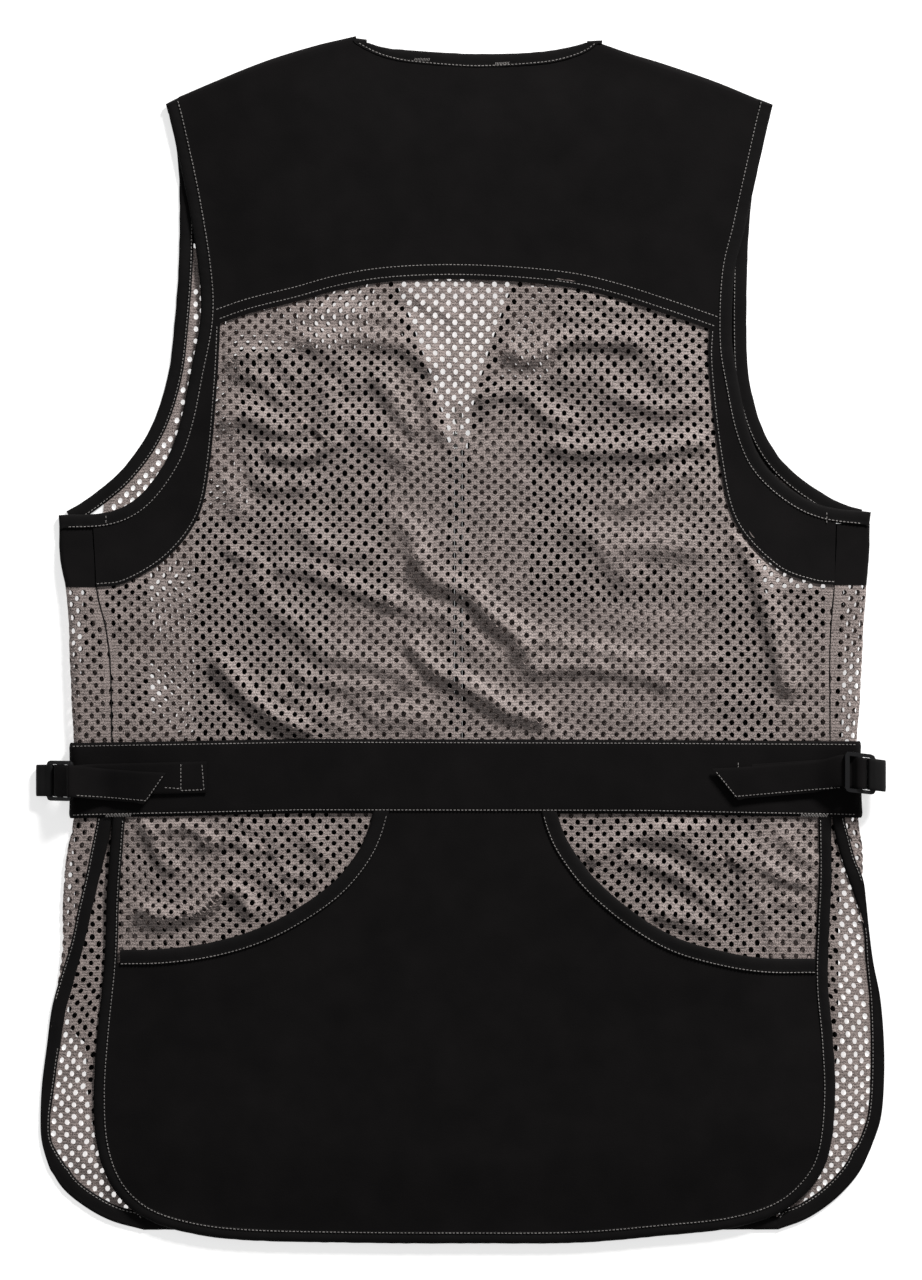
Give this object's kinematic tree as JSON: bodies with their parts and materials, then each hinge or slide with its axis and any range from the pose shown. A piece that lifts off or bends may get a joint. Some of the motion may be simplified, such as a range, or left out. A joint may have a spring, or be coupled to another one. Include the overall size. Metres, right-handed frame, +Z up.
{
  "type": "shooting vest",
  "caption": "Sleeveless black shooting vest with a grey mesh back and waist belt, laid flat with its back up; the zip's pull swings.",
  "frame": {"origin": "middle of the underside, where the vest lies on a flat surface", "axes": "+Y from the hem to the neck, +X to the wearer's right with the back facing up, +Z up away from the surface"},
  "size_m": [0.5932, 0.8434, 0.0214],
  "materials": {
    "black_cloth": "matt plain weave",
    "black_binding": "matt folded tape",
    "grey_mesh": "open knit mesh with oval holes",
    "black_webbing": "ribbed webbing",
    "black_plastic": "satin",
    "zip_metal": "satin"
  },
  "bodies": {
    "root": {"armhole_binding_back_left": "black_binding", "armhole_binding_back_right": "black_binding", "armhole_binding_front_left": "black_binding", "armhole_binding_front_right": "black_binding", "armhole_facing_left": "black_cloth", "armhole_facing_right": "black_cloth", "armhole_side_left": "black_cloth", "armhole_side_right": "black_cloth", "back_binding_hem": "black_binding", "back_binding_left": "black_binding", "back_binding_right": "black_binding", "back_mesh": "grey_mesh", "back_mesh_lower": "grey_mesh", "back_yoke": "black_cloth", "belt": "black_cloth", "buckle_left": "black_plastic", "buckle_right": "black_plastic", "front_hem_binding": "black_binding", "front_mesh_chest": "grey_mesh", "front_mesh_left": "grey_mesh", "front_mesh_right": "grey_mesh", "front_panel_left": "black_cloth", "front_panel_right": "black_cloth", "front_side_mesh_left": "grey_mesh", "front_side_mesh_right": "grey_mesh", "front_vent_binding_left": "black_binding", "front_vent_binding_right": "black_binding", "front_yoke_left": "black_cloth", "front_yoke_right": "black_cloth", "game_pouch": "black_cloth", "neck_binding": "black_binding", "scoop_binding_left": "black_binding", "scoop_binding_right": "black_binding", "shoulder_patch": "black_cloth", "strap_left": "black_cloth", "strap_right": "black_cloth", "v_binding_left": "black_binding", "v_binding_right": "black_binding", "webbing_left": "black_webbing", "webbing_right": "black_webbing", "zip_chain": "black_plastic", "zip_slider": "zip_metal", "zip_tape_left": "black_binding", "zip_tape_right": "black_binding"},
    "zip_pull": {"zip_pull": "zip_metal"}
  },
  "joints": [
    {"name": "zip_pull_swing", "type": "hinge", "parent": "root", "child": "zip_pull", "pos_m": [-0.0015, 0.14615, 0.0018], "axis": [1, 0, 0], "range_deg": [0, 15]}
  ]
}
